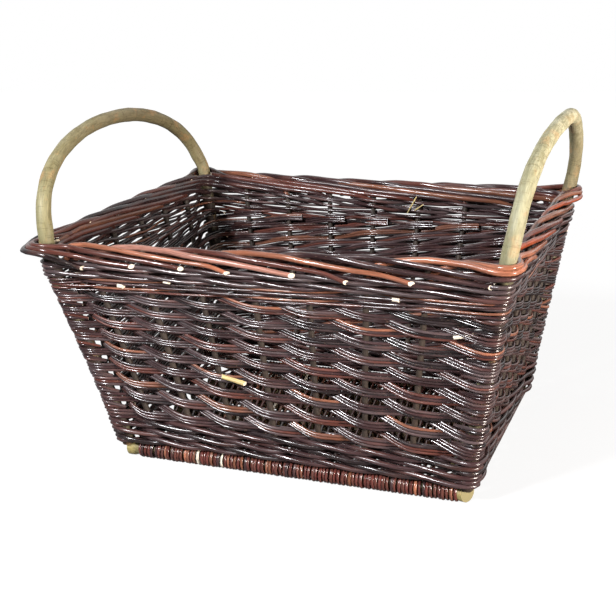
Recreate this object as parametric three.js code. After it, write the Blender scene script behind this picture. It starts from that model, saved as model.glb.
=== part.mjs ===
// Wicker firewood basket: a flared tub of woven willow with a fixed rod bow at each short end.
// Millimetres, +Z up. The origin lies under the middle of the base, with +X along the long side
// and the front wall at -Y. Every rod, stick and woven row is a separate closed solid.
import * as THREE from "three";

// Outline: spacing of the corner posts, centre to centre, at the foot and at the rim
const FOOT_LENGTH = 464;
const FOOT_WIDTH = 324;
const RIM_LENGTH = 570;
const RIM_WIDTH = 424;

// Handles: rods that run down two corners and arch over the end of the basket
const HANDLE_ROD = 18.5;
const BOW_RISE = 121;

// Uprights of the four walls
const STAKE_ROD = 8;
const LONG_SIDE_STAKES = 7;
const SHORT_SIDE_STAKES = 5;
const FRONT_STAKE_SHIFT = 12;

// Base: sticks along the basket, wrapped over and under by a weave that runs across it
const BASE_STICK_ROD = 16;
const BASE_STICK_SETBACK = 3;
const EDGE_STICK_INSET = 3;
const BASE_WEAVE = 3.7;
const BASE_WEAVE_SETBACK = 17;
const STAKE_FOOT_LENGTH = 40;

// Wall weave, from the base up: waled rows, looser slewed rows that grow finer, fine randed rows
const WEAVE_THICKNESS = 4.5;
const WALE_ROWS = 2;
const WALE_ROW_HEIGHT = 18.6;
const SLEW_ROWS = 15;
const LOWEST_SLEW_HEIGHT = 14.2;
const HIGHEST_SLEW_HEIGHT = 8.3;
const SLEW_SLIT = 1.2;
const RAND_ROWS = 2;
const RAND_ROW_HEIGHT = 16;

// Border: two runs outside the stakes, one inside and one over their ends on each side
const BORDER_ROD = 10;
const TOP_ROD = 11.4;
const STAKE_REACH_IN_BORDER = 16;

// Gaps between pieces that touch
const SEAT_GAP = 0.3;
const ROW_GAP = 0.4;
const ROD_CLEARANCE = 0.5;
const TOP_ROD_END_GAP = 1.5;

// Facets
const ROD_SIDES = 8;
const HANDLE_SIDES = 12;
const BOW_STEPS = 18;
const STAKE_BEND_STEPS = 3;
const BASE_EDGE_STEPS = 10;

const UP = new THREE.Vector3(0, 0, 1);
const DOWN = new THREE.Vector3(0, 0, -1);

// Sizes and levels that follow from those above
const EDGE_STICK_Y = FOOT_WIDTH / 2 - EDGE_STICK_INSET;
const INNER_STICK_YS = innerStickYs();
const STAKE_FOOT_Z = BASE_WEAVE + SEAT_GAP + STAKE_ROD / 2;
const BASE_CENTRE_Z = BASE_WEAVE + SEAT_GAP + BASE_STICK_ROD / 2;
const BASE_TOP_Z = 2 * BASE_CENTRE_Z;
const ROWS = wovenRows();
const BORDER_FOOT_Z = ROWS.reduce((z, row) => z + row.height + row.slit, BASE_TOP_Z + ROW_GAP);
const STAKE_TOP_Z = BORDER_FOOT_Z + STAKE_REACH_IN_BORDER;
const TOP_ROD_Z = STAKE_TOP_Z + SEAT_GAP + TOP_ROD / 2;
const RIM_Z = TOP_ROD_Z + TOP_ROD / 2;

// Finishes
const finish = (color, roughness) => new THREE.MeshStandardMaterial({ color, roughness, metalness: 0 });
const DARK_WILLOW = finish(0x4a362e, 0.55);
const RED_WILLOW = finish(0x7c4a30, 0.55);
const HANDLE_BARK = finish(0xb5a678, 0.6);
const STAKE_BARK = finish(0x6b5a48, 0.65);
const STICK_WOOD = finish(0x9a7a52, 0.7);

// Names, heights and slits above of the woven rows, lowest first; slewed rows thin out evenly
function wovenRows() {
  const rows = [];
  for (let i = 1; i <= WALE_ROWS; i++) {
    rows.push({ name: `wale_row_${i}`, height: WALE_ROW_HEIGHT, slit: ROW_GAP });
  }
  for (let i = 1; i <= SLEW_ROWS; i++) {
    const rise = SLEW_ROWS > 1 ? (i - 1) / (SLEW_ROWS - 1) : 0;
    const height = THREE.MathUtils.lerp(LOWEST_SLEW_HEIGHT, HIGHEST_SLEW_HEIGHT, rise);
    rows.push({ name: `slew_row_${String(i).padStart(2, "0")}`, height, slit: SLEW_SLIT });
  }
  for (let i = 1; i <= RAND_ROWS; i++) {
    rows.push({ name: `rand_row_${i}`, height: RAND_ROW_HEIGHT, slit: ROW_GAP });
  }
  return rows;
}

// Places of the base sticks between the edge ones, front to back, midway between two stake feet
function innerStickYs() {
  return Array.from({ length: SHORT_SIDE_STAKES - 1 }, (_, i) => {
    const share = (2 * i + 3) / (SHORT_SIDE_STAKES + 1) - 1;
    return (share * FOOT_WIDTH) / 2;
  });
}

// Half spacing of the corner posts at height z: the walls flare evenly from foot to rim
function wallHalf(z) {
  const rise = (z - BASE_TOP_Z) / (RIM_Z - BASE_TOP_Z);
  return new THREE.Vector2(
    THREE.MathUtils.lerp(FOOT_LENGTH, RIM_LENGTH, rise) / 2,
    THREE.MathUtils.lerp(FOOT_WIDTH, RIM_WIDTH, rise) / 2,
  );
}

// Walls in order round the basket, anticlockwise from above: outward and onward directions, number
// of stakes and how far they stand onward of an even spacing
const SIDES = [
  { name: "front", out: [0, -1], along: [1, 0], stakes: LONG_SIDE_STAKES, shift: -FRONT_STAKE_SHIFT },
  { name: "right", out: [1, 0], along: [0, 1], stakes: SHORT_SIDE_STAKES, shift: 0 },
  { name: "back", out: [0, 1], along: [-1, 0], stakes: LONG_SIDE_STAKES, shift: 0 },
  { name: "left", out: [-1, 0], along: [0, -1], stakes: SHORT_SIDE_STAKES, shift: 0 },
].map((side) => ({
  ...side,
  out: new THREE.Vector2(...side.out),
  along: new THREE.Vector2(...side.along),
}));

// Corner post between two walls; it is a leg of a handle
function cornerPost(before, after) {
  const corner = before.out.clone().add(after.out);
  return {
    before,
    after,
    isCorner: true,
    radius: HANDLE_ROD / 2,
    at: (z) => corner.clone().multiply(wallHalf(z)),
  };
}

// Stake number i of a wall, evenly spaced between the corner posts
function sideStake(side, i) {
  const share = (2 * i) / (side.stakes + 1) - 1;
  return {
    side,
    number: i,
    isCorner: false,
    radius: STAKE_ROD / 2,
    isEndOfSide: i === 1 || i === side.stakes,
    at: (z) => {
      const half = wallHalf(z);
      const reach = share * Math.abs(side.along.dot(half)) + side.shift;
      return side.out.clone().multiply(half).addScaledVector(side.along, reach);
    },
  };
}

const POSTS = SIDES.flatMap((side, s) => {
  const before = SIDES[(s + SIDES.length - 1) % SIDES.length];
  const stakes = Array.from({ length: side.stakes }, (_, i) => sideStake(side, i + 1));
  return [cornerPost(before, side), ...stakes];
});

// Points by which a strand passes a post, on its outer side for face 1 and its inner side for -1
function passPoints(post, z, face, thickness) {
  const centre = post.at(z);
  const reach = post.radius + ROD_CLEARANCE + thickness / 2;
  if (!post.isCorner) {
    const middle = centre.addScaledVector(post.side.out, face * reach);
    return [-1, 1].map((end) => middle.clone().addScaledVector(post.side.along, end * post.radius));
  }
  const { before, after } = post;
  if (face > 0) {
    const radius = reach / Math.cos(Math.PI / 8);
    const diagonal = before.out.clone().add(after.out).normalize();
    return [before.out, diagonal, after.out].map((way) => centre.clone().addScaledVector(way, radius));
  }
  return [centre.addScaledVector(before.out, -reach).addScaledVector(after.out, -reach)];
}

// Route of a woven row, in front of one post and behind the next
function rowPath(z, parity) {
  return POSTS.flatMap((post, i) => passPoints(post, z, (i + parity) % 2 ? -1 : 1, WEAVE_THICKNESS));
}

// Route of a border run along one face of all posts, bent only beside the corners
function borderPath(z, face) {
  const stations = POSTS.filter((post) => post.isCorner || post.isEndOfSide);
  return stations.flatMap((post) => passPoints(post, z, face, BORDER_ROD));
}

// A closed route moved outwards by a distance, with mitred bends
function offsetLoop(points, distance) {
  const count = points.length;
  const rightOf = (from, to) => new THREE.Vector2(to.y - from.y, from.x - to.x).normalize();
  return points.map((point, i) => {
    const arriving = rightOf(points[(i + count - 1) % count], point);
    const leaving = rightOf(point, points[(i + 1) % count]);
    const mitre = arriving.clone().add(leaving).normalize();
    return point.clone().addScaledVector(mitre, distance / mitre.dot(arriving));
  });
}

// Closed ring round the basket: a section of [outward, upward] corners swept along a route
function ringGeometry(pathAt, z, section) {
  const loops = section.map(([out, up]) =>
    offsetLoop(pathAt(z + up), out).map((point) => [point.x, point.y, z + up]),
  );
  const count = loops[0].length;
  const index = [];
  for (let s = 0; s < section.length; s++) {
    const next = (s + 1) % section.length;
    for (let i = 0; i < count; i++) {
      const j = (i + 1) % count;
      index.push(s * count + i, s * count + j, next * count + j);
      index.push(s * count + i, next * count + j, next * count + i);
    }
  }
  const geometry = new THREE.BufferGeometry();
  geometry.setAttribute("position", new THREE.Float32BufferAttribute(loops.flat(2), 3));
  geometry.setIndex(index);
  geometry.computeVertexNormals();
  return geometry;
}

// Regular polygon inscribed in a circle, as [x, y] corners
function polygon(radius, sides) {
  return Array.from({ length: sides }, (_, i) => {
    const angle = ((i + 0.5) * 2 * Math.PI) / sides;
    return [radius * Math.cos(angle), radius * Math.sin(angle)];
  });
}

// Centre line of a rod through hand-set stations, with a chosen direction at each cut end
class RodLine extends THREE.Curve {
  constructor(points, startWay, endWay) {
    super();
    this.points = points;
    this.startWay = startWay;
    this.endWay = endWay;
  }

  getPointAt(share, target = new THREE.Vector3()) {
    return target.copy(this.points[this.station(share)]);
  }

  getTangentAt(share, target = new THREE.Vector3()) {
    const i = this.station(share);
    const last = this.points.length - 1;
    if (i === 0) return target.copy(this.startWay);
    if (i === last) return target.copy(this.endWay);
    const arriving = this.points[i].clone().sub(this.points[i - 1]).normalize();
    const leaving = this.points[i + 1].clone().sub(this.points[i]).normalize();
    return target.copy(arriving.add(leaving)).normalize();
  }

  station(share) {
    return Math.round(share * (this.points.length - 1));
  }
}

// Round rod along a line of points
function rodGeometry(points, diameter, sides, startWay, endWay) {
  const corners = polygon(diameter / 2, sides).map(([x, y]) => new THREE.Vector2(x, y));
  return new THREE.ExtrudeGeometry(new THREE.Shape(corners), {
    steps: points.length - 1,
    bevelEnabled: false,
    extrudePath: new RodLine(points, startWay, endWay),
  });
}

const lift = (flat, z) => new THREE.Vector3(flat.x, flat.y, z);

// Handle: up one corner, over in a half ellipse that leans with the wall, and down the next corner
function handleGeometry(end) {
  const footZ = BASE_CENTRE_Z + BASE_STICK_ROD / 2 + SEAT_GAP;
  const onWall = (y, z) => new THREE.Vector3(end * wallHalf(z).x, y, z);
  const footY = wallHalf(footZ).y;
  const points = [onWall(-footY, footZ)];
  for (let i = 0; i <= BOW_STEPS; i++) {
    const angle = (i / BOW_STEPS) * Math.PI;
    points.push(onWall((-Math.cos(angle) * RIM_WIDTH) / 2, RIM_Z + BOW_RISE * Math.sin(angle)));
  }
  points.push(onWall(footY, footZ));
  return rodGeometry(points, HANDLE_ROD, HANDLE_SIDES, UP, DOWN);
}

// Stake of a long wall: it stands on the wrapped edge of the base
function standingStakeGeometry(post) {
  const footZ = BASE_TOP_Z + SEAT_GAP;
  const points = [footZ, STAKE_TOP_Z].map((z) => lift(post.at(z), z));
  return rodGeometry(points, STAKE_ROD, ROD_SIDES, UP, UP);
}

// Stake of a short wall: its foot lies inside the base weave, and it bends up where it leaves it
function footedStakeGeometry(post) {
  const bend = BASE_TOP_Z - STAKE_FOOT_Z;
  const out = new THREE.Vector3(post.side.out.x, post.side.out.y, 0);
  const upright = lift(post.at(BASE_TOP_Z), BASE_TOP_Z);
  const bendCentre = upright.clone().addScaledVector(out, -bend);
  const footStart = FOOT_LENGTH / 2 - BASE_WEAVE_SETBACK - STAKE_FOOT_LENGTH;
  const points = [new THREE.Vector3(out.x * footStart, upright.y, STAKE_FOOT_Z)];
  for (let i = 0; i <= STAKE_BEND_STEPS; i++) {
    const angle = ((i / STAKE_BEND_STEPS) * Math.PI) / 2;
    const point = bendCentre.clone().addScaledVector(out, bend * Math.sin(angle));
    points.push(point.addScaledVector(UP, -bend * Math.cos(angle)));
  }
  points.push(lift(post.at(STAKE_TOP_Z), STAKE_TOP_Z));
  return rodGeometry(points, STAKE_ROD, ROD_SIDES, out, UP);
}

// Straight stick of the base
function baseStickGeometry(y) {
  const half = FOOT_LENGTH / 2 - BASE_STICK_SETBACK;
  const ends = [-half, half].map((x) => new THREE.Vector3(x, y, BASE_CENTRE_Z));
  const way = new THREE.Vector3(1, 0, 0);
  return rodGeometry(ends, BASE_STICK_ROD, ROD_SIDES, way, way);
}

// Outline of the base weave across the basket, at a distance from the sticks: flat below, with a
// hump over each stick and a valley between them above, both measured from the sticks' centres
function baseOutline(path, distance, valley) {
  const rise = Math.asin(valley / distance);
  path.absarc(EDGE_STICK_Y, 0, distance, -Math.PI / 2, Math.PI - rise, false);
  for (const y of INNER_STICK_YS.toReversed()) {
    path.absarc(y, 0, distance, rise, Math.PI - rise, false);
  }
  path.absarc(-EDGE_STICK_Y, 0, distance, rise, (3 * Math.PI) / 2, false);
  path.closePath();
  return path;
}

// Base weave: a sleeve round all sticks, open at both ends, that sinks between them to the stake feet
function baseWeaveGeometry() {
  const distance = BASE_STICK_ROD / 2 + SEAT_GAP;
  const valley = STAKE_FOOT_Z + STAKE_ROD / 2 + SEAT_GAP - BASE_CENTRE_Z;
  const outline = baseOutline(new THREE.Shape(), distance + BASE_WEAVE, valley + BASE_WEAVE);
  outline.holes.push(baseOutline(new THREE.Path(), distance, valley));
  const length = FOOT_LENGTH - 2 * BASE_WEAVE_SETBACK;
  const geometry = new THREE.ExtrudeGeometry(outline, {
    depth: length,
    bevelEnabled: false,
    curveSegments: BASE_EDGE_STEPS,
  });
  const across = new THREE.Matrix4().makeBasis(
    new THREE.Vector3(0, 1, 0),
    new THREE.Vector3(0, 0, 1),
    new THREE.Vector3(1, 0, 0),
  );
  return geometry.applyMatrix4(across).translate(-length / 2, 0, BASE_CENTRE_Z);
}

// Border run over the stake ends of one wall, from leg to leg
function topRodGeometry(side) {
  const half = wallHalf(TOP_ROD_Z);
  const reach = Math.abs(side.along.dot(half)) - HANDLE_ROD / 2 - TOP_ROD_END_GAP;
  const middle = side.out.clone().multiply(half);
  const ends = [-reach, reach].map((way) => lift(middle.clone().addScaledVector(side.along, way), TOP_ROD_Z));
  const way = lift(side.along, 0);
  return rodGeometry(ends, TOP_ROD, ROD_SIDES, way, way);
}

const basket = new THREE.Group();

function addPiece(name, geometry, material) {
  const mesh = new THREE.Mesh(geometry, material);
  mesh.name = name;
  basket.add(mesh);
}

// Base
addPiece("base_edge_stick_front", baseStickGeometry(-EDGE_STICK_Y), STICK_WOOD);
addPiece("base_edge_stick_back", baseStickGeometry(EDGE_STICK_Y), STICK_WOOD);
INNER_STICK_YS.forEach((y, i) => addPiece(`base_stick_${i + 1}`, baseStickGeometry(y), STICK_WOOD));
addPiece("base_weave", baseWeaveGeometry(), RED_WILLOW);

// Handles and stakes
addPiece("handle_left", handleGeometry(-1), HANDLE_BARK);
addPiece("handle_right", handleGeometry(1), HANDLE_BARK);
for (const post of POSTS.filter((each) => !each.isCorner)) {
  const isOnLongWall = post.side.out.x === 0;
  const geometry = isOnLongWall ? standingStakeGeometry(post) : footedStakeGeometry(post);
  addPiece(`${post.side.name}_stake_${post.number}`, geometry, STAKE_BARK);
}

// Woven rows, each starting on the other side of the posts than the row below
let rowFootZ = BASE_TOP_Z + ROW_GAP;
ROWS.forEach(({ name, height, slit }, i) => {
  const section = [
    [-WEAVE_THICKNESS / 2, -height / 2],
    [WEAVE_THICKNESS / 2, -height / 2],
    [WEAVE_THICKNESS / 2, height / 2],
    [-WEAVE_THICKNESS / 2, height / 2],
  ];
  const pathAt = (z) => rowPath(z, i);
  addPiece(name, ringGeometry(pathAt, rowFootZ + height / 2, section), DARK_WILLOW);
  rowFootZ += height + slit;
});

// Border
const borderSection = polygon(BORDER_ROD / 2, ROD_SIDES);
const lowerRunZ = BORDER_FOOT_Z + BORDER_ROD / 2;
const upperRunZ = lowerRunZ + BORDER_ROD + ROW_GAP;
const outside = (z) => borderPath(z, 1);
const inside = (z) => borderPath(z, -1);
addPiece("border_outer_lower", ringGeometry(outside, lowerRunZ, borderSection), RED_WILLOW);
addPiece("border_outer_upper", ringGeometry(outside, upperRunZ, borderSection), RED_WILLOW);
addPiece("border_inner", ringGeometry(inside, lowerRunZ, borderSection), RED_WILLOW);
for (const side of SIDES) {
  addPiece(`border_top_${side.name}`, topRodGeometry(side), RED_WILLOW);
}

export default basket;
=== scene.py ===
"""Looks of the wicker firewood basket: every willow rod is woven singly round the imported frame.

Metres, +Z up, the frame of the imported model. Posts are numbered anticlockwise from above, starting with
the front left corner, and a rod's way round the basket is counted in posts.
"""

import math

import bpy
import numpy as np
from mathutils import Matrix, Vector


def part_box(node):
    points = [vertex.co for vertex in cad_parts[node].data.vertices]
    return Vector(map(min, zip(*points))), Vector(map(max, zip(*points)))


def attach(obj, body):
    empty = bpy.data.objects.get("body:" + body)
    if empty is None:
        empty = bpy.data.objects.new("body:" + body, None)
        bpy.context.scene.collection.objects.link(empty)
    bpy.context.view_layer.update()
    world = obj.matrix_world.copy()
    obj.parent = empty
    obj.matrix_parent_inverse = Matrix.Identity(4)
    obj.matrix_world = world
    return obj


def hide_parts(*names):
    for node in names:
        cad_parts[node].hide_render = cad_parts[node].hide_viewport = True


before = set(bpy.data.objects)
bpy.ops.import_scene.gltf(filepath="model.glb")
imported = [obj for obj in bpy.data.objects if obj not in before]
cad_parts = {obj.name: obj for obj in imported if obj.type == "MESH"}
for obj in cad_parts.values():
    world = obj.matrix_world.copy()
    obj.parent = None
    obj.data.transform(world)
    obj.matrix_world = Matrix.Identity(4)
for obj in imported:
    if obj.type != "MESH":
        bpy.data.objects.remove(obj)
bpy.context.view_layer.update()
SEED = 20

# Camera at the photograph's viewing angle
CAMERA_PLACE = (0.4994, -1.2774, 0.6101)
CAMERA_YAW = math.radians(22.45)
CAMERA_PITCH = math.radians(17.55)
CAMERA_ROLL = math.radians(2.48)
SENSOR_WIDTH = 36.0
CAMERA_LENS = 62.2

# Uneven shape of a basket made by hand: how far the corners of its rim stand above the plain height,
# the left end above its corners and the back below them, and how far the front left corner swells out
CORNER_LIFTS = {(-1, -1): -0.0045, (1, -1): 0.0045, (1, 1): 0.0005, (-1, 1): 0.0090}
LEFT_END_LIFT = 0.0080
BACK_SAG = 0.0040
RIM_FADE = 0.030
SWELL_HEIGHTS = (0.050, 0.150, 0.265, 0.320)
SWELL_REACHES = (-0.0050, 0.0, 0.0075, 0.0)
# Where the left end's lift and the back's sag set in, as shares of half the rim's length and width
LEFT_LIFT_FROM = (0.78, 0.96)
LEFT_LIFT_PLACES = (-0.98, -0.70, 0.0, 1.0)
LEFT_LIFT_SHARES = (0.0, 1.0, 0.75, 0.0)
BACK_SAG_FROM = (0.6, 0.95)

# Handles: the posts of their front and back legs, and how the rods depart from even arches
HANDLE_LEGS = {"left": (0, 22), "right": (8, 14)}
FRONT_RIGHT_LEG = HANDLE_LEGS["right"][0]
LEG_RADIUS = 0.00925
LEG_TAPERS = {"left": (1.10, 0.95), "right": (1.03, 0.96)}
BOW_LIFTS = {"left": -0.003, "right": 0.003}
BOW_FULLNESS = {"left": (2.20, 2.15), "right": (2.35, 1.95)}
LEG_STEPS = 12
BOW_STEPS = 60
# Waves in a handle's line and thickness: size, and radians along the whole length
HANDLE_SIDE_WAVE = (0.0012, 19)
HANDLE_RISE_WAVE = (0.0010, 23)
HANDLE_GIRTH_WAVE = (0.015, 31)

# Stakes
STAKE_RADIUS = 0.0038
STAKE_TINTS = (0.75, 1.2)
STAKE_STEPS = 24
STAKE_BEND_STEPS = 6

# Heights at which the frame's uprights are cut to find how they lean
LOW_CUT = 0.050
HIGH_CUT = 0.275
# How far before and after a leg a rod starts to turn, in posts, and its gap to the post
CORNER_STEP = 0.16
ROD_GAP = 0.0003

# How unevenly most rods lie, and how their thickness differs
ROD_SHIFT = 0.0004
ROD_GIRTHS = (0.92, 1.06)

# Slewed wall: bundles of rods that climb to the left, one bundle from each post
SLEW_BUNDLE = (-2, 0, 2)
SLEW_LAYERS = 9
SLEW_FIRST_PITCH = 0.0244
SLEW_LAST_PITCH = 0.0170
SLEW_BUTT_RADIUS = 0.00215
SLEW_TIP_RADIUS = 0.00165
SLEW_DROP = 0.24
SLEW_BUTT_TAIL = 0.42
SLEW_TIP_TAIL = 0.35
SLEW_TAIL_RISE = 0.001
# Height of a bundle in its layer, and how unevenly bundles lie upward and outward, in shares of a layer
SLEW_PLACE_IN_LAYER = 0.30
SLEW_BUNDLE_SHIFTS = (0.035, 0.02)
SLEW_TINTS = (0.8, 1.2)
SLEW_SLANTS = (0.6, -0.6)
SAME_BARK_SHARE = 0.5

# The rods lie closer in the back wall: how much fuller they are at some ways round the basket
BACK_WAYS = (14.0, 15.0, 21.0, 22.0)
BACK_FULLNESS = (1.0, 1.2, 1.2, 1.0)

# Packing rods that fill the corners: heights before, at and after the leg, in shares of a layer
PACKING_WAYS = (-0.36, 0.0, 0.36)
PACKING_SHARES = ((0.50, 0.40, 0.20), (0.54, 0.60, 0.26))
PACKING_END_REACH = 0.002
PACKING_GIRTHS = (0.9, 1.05)

# Stray ends: way, outward place and height at both ends, radius
STRAW_ENDS = (
    ((3.14, 0.0105, 0.1425), (3.60, 0.0090, 0.1345), 0.0029),
    ((17.20, -0.0100, 0.2650), (17.02, -0.0110, 0.2900), 0.0010),
    ((17.04, -0.0100, 0.2700), (16.86, -0.0105, 0.2790), 0.0009),
)
PALE_ENDS = (
    ((7.46, 0.0060, 0.2190), (7.74, 0.0065, 0.2238), 0.0022),
    ((1.46, 0.0085, 0.2568), (1.58, 0.0090, 0.2560), 0.0026),
    ((6.48, 0.0085, 0.2610), (6.60, 0.0090, 0.2606), 0.0022),
    ((0.60, 0.0085, 0.2690), (0.72, 0.0090, 0.2684), 0.0024),
    ((2.40, 0.0085, 0.2660), (2.52, 0.0090, 0.2652), 0.0022),
)
STRAY_SLANTS = (0.4, 0.4)

# Waled bands: three rods that each pass two posts outside and one inside
WALE_RODS = 3
LOWER_WALE_ROUNDS = 3
UPPER_WALE_ROUNDS = 2
UPPER_WALE_DROP = 0.0185
UPPER_WALE_HEIGHT = 0.0215
WALE_START_POST = 17
WALE_STEP_POSTS = 3
WALE_FULLNESS = 0.98
WALE_START_GIRTH = 0.5
WALE_GIRTHS = (0.95, 1.05)
WALE_SLANTS = (0.5, 0.5)

# Rods laid along the foot of the back, left and right wall: first and last point
FOOT_RODS = (
    ((-0.2220, 0.1690, 0.0245), (0.2220, 0.1690, 0.0245)),
    ((-0.2394, 0.1500, 0.0222), (-0.2394, -0.1500, 0.0222)),
    ((0.2394, -0.1500, 0.0222), (0.2394, 0.1500, 0.0222)),
)
FOOT_ROD_RADIUS = 0.0031
FOOT_ROD_STEPS = 40

# Randed rows between the slewed wall and the upper wale, over two posts and under one
RAND_ROWS = 8
RAND_FOOT_DROP = 0.0025
RAND_CYCLE = 3
RAND_ROW_STEP = 5
RAND_FULLNESS = 0.76
RAND_TAPER = (1.08, 0.85)
RAND_SHIFT = 0.0003
RAND_SLANTS = (0.6, 0.6)

# Border rods: posts passed, outward place and height above the border's foot
BORDER_RADIUS = 0.0039
BORDER_TIP_RADIUS = 0.0029
BORDER_SHIFT = 0.0005
BORDER_SLANTS = (0.0, 1.1)
BORDER_ROUTE = (
    (0.00, 0.0000, -0.0040),
    (0.06, -0.0010, 0.0080),
    (0.25, -0.0030, 0.0160),
    (0.50, -0.0040, 0.0205),
    (1.00, -0.0020, 0.0235),
    (1.50, 0.0065, 0.0230),
    (2.00, 0.0110, 0.0195),
    (2.70, 0.0125, 0.0130),
    (3.30, 0.0120, 0.0070),
    (3.90, 0.0105, 0.0025),
)
# The same where a border rod passes the leg of a handle: share of that corner's loop and height
BORDER_AT_LEG = {1: (0.25, 0.0240), 2: (0.62, 0.0178), 3: (1.00, 0.0116)}
# Reach of the border's loop round each leg, and how far its outer rods are lifted there
CORNER_LOOPS = {0: (0.0180, 0.0080), 8: (0.0020, 0.0), 14: (0.0045, 0.0030), 22: (0.0045, 0.0030)}
# How far from a leg the other stations stay, and how much nearer a rod starts that rises at the leg
LEG_BERTH = 0.42
LEG_START = 0.08
# How unevenly the border rods are cut, as multiples of their sideways and upward shifts
END_SHORTENING = 420.0
END_DROP = 5.0

# Second rods of the border, which stay inside the basket
INNER_RADIUS = 0.0036
INNER_GIRTHS = (0.92, 1.05)
INNER_SLANTS = (0.0, -0.8)
INNER_ROUTE = (
    (0.00, 0.0000, -0.0040),
    (0.30, -0.0060, 0.0040),
    (1.00, -0.0085, 0.0075),
    (2.00, -0.0075, 0.0130),
    (3.00, -0.0055, 0.0185),
    (3.80, -0.0035, 0.0205),
)
INNER_LEG_SHARE = -0.80
# Stations that a route may gain at legs
SPARE_STATIONS = 4

# Base rods, which go on past the frame's right end
BASE_ROD_RADIUS = 0.00235
BASE_ROD_PITCH = 0.0049
BASE_OVERHANG = 0.0098
BASE_ROD_STEPS = 56
# Waves in a base rod and a base stick: size, and radians for each metre
BASE_WAVE = (0.0007, 80)
STICK_WAVE = (0.0006, 20)
BASE_WAVE_PHASES = 6.28
BASE_GIRTHS = (0.80, 1.06)
WRAP_TURNS = np.radians(np.arange(0, 211, 30))
# Rods that close the base at its left and right end, and how far inside the edge sticks they stop
BASE_END_RODS = (2, 1)
BASE_END_INSET = 0.012

# Base sticks; the edge sticks are thicker at their ends, by radii at places from the end
BASE_STICK_RADIUS = 0.0076
STICK_STEPS = 60
STICK_TINTS = (0.85, 1.15)
STICK_PLAIN_STOPS = 9
STICK_END_REACH = 0.003
STICK_END_RADII = (0.0110, 0.0106, 0.0076)
STICK_END_PLACES = (0.0, 0.012, 0.018)
STICK_END_SLANT = 0.5

# Stage: floor, its glow to the camera by distance from the basket, world and lamps
FLOOR_SIZE = 8.0
FLOOR_GREY = 0.18
FLOOR_ROUGHNESS = 0.9
FLOOR_GLOSS = 0.1
FLOOR_GLOW_REACH = (0.4, 2.5)
FLOOR_GLOW = (2.95, 3.30)
FLOOR_GLOW_SHARE = 0.30
WORLD_LIGHT = 0.015
BACKDROP_EDGE = 0.3
LAMP_TARGET = (0.0, 0.0, 0.15)
# Name, place, power, size and colour
LAMPS = (
    ("key", (-0.8, -2.0, 1.6), 102.0, 0.35, (0.97, 0.97, 1.0)),
    ("fill", (1.9, -0.7, 0.4), 70.0, 0.35, (1.0, 0.90, 0.81)),
    ("top", (0.2, 0.3, 2.4), 6.0, 0.8, (1.0, 0.95, 0.90)),
)

UP = np.array((0.0, 0.0, 1.0))
ALONG_X = np.array((1.0, 0.0, 0.0))


def from_srgb(red, green, blue):
    """A colour written as 0 to 255 in sRGB, as linear numbers."""
    share = np.array((red, green, blue)) / 255
    return np.where(share <= 0.04045, share / 12.92, ((share + 0.055) / 1.055) ** 2.4)


# Bark colours
PLUM_BARK = from_srgb(54, 37, 38)
GREY_BARK = from_srgb(70, 58, 59)
BLACK_BARK = from_srgb(31, 23, 24)
RED_BARK = from_srgb(84, 48, 41)
RUST_BARK = from_srgb(116, 74, 56)
COPPER_BARK = from_srgb(152, 96, 72)
AMBER_BARK = from_srgb(148, 68, 36)
ROSE_BARK = from_srgb(156, 110, 96)
MAROON_BARK = from_srgb(86, 44, 39)
CREAM_WOOD = from_srgb(240, 229, 210)
STRAW_BARK = from_srgb(204, 184, 128)
STAKE_BARK = from_srgb(58, 48, 41)
STICK_BARK = from_srgb(92, 74, 50)
STICK_END_BARK = from_srgb(164, 152, 98)
RED_TINGE = from_srgb(98, 58, 48)
GREY_BLOOM = from_srgb(112, 96, 98)
PALE_PORES = from_srgb(168, 140, 112)
MOSS_GREEN = from_srgb(126, 122, 88)
WARM_ORANGE = from_srgb(188, 140, 88)
END_GRAIN_STAIN = from_srgb(176, 140, 104)

# Linear shades that darken a bark in patches, rings and flecks
PATCH_SHADE = (0.62, 0.60, 0.48)
RING_SHADE = (0.55, 0.50, 0.40)
FLECK_SHADE = (0.35, 0.30, 0.25)

# Bark of each handle at its front leg, its top and its back leg, partly its own tone and partly painted
# shade:
# the back legs and the left handle's top are made darker where shade falls on them
HANDLE_BARKS_AND_SHADE = {
    "left": (from_srgb(146, 139, 101), from_srgb(127, 118, 90), from_srgb(128, 118, 84)),
    "right": (from_srgb(150, 147, 116), from_srgb(200, 196, 164), from_srgb(130, 121, 91)),
}

# Painted shade on the legs inside the weave, and the shares of a handle's length where its barks lie
PAINTED_SHADE_LEG_BARK = from_srgb(54, 41, 33)
HANDLE_BARK_SHARES = (0.0, 0.24, 0.27, 0.5, 0.73, 0.76, 1.0)

# How often each bark colour turns up in a part of the basket
WALL_BARKS = ((PLUM_BARK, 0.42), (GREY_BARK, 0.22), (BLACK_BARK, 0.18), (RED_BARK, 0.14), (RUST_BARK, 0.04))
RAND_BARKS = ((PLUM_BARK, 0.40), (GREY_BARK, 0.18), (BLACK_BARK, 0.12), (RED_BARK, 0.20), (RUST_BARK, 0.10))
BORDER_BARKS = {
    "front": ((COPPER_BARK, 0.30), (ROSE_BARK, 0.26), (RED_BARK, 0.26), (PLUM_BARK, 0.18)),
    "right": ((AMBER_BARK, 0.62), (RUST_BARK, 0.16), (RED_BARK, 0.22)),
    "back": ((RUST_BARK, 0.20), (RED_BARK, 0.40), (PLUM_BARK, 0.40)),
    "left": ((RED_BARK, 0.35), (PLUM_BARK, 0.45), (BLACK_BARK, 0.20)),
}
INNER_BARKS = ((PLUM_BARK, 0.40), (RED_BARK, 0.30), (BLACK_BARK, 0.12), (RUST_BARK, 0.18))
BASE_BARKS = (
    (MAROON_BARK, 0.42), (RED_BARK, 0.22), (PLUM_BARK, 0.14), (RUST_BARK, 0.12), (COPPER_BARK, 0.05),
    (CREAM_WOOD, 0.05),
)


# Materials


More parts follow.
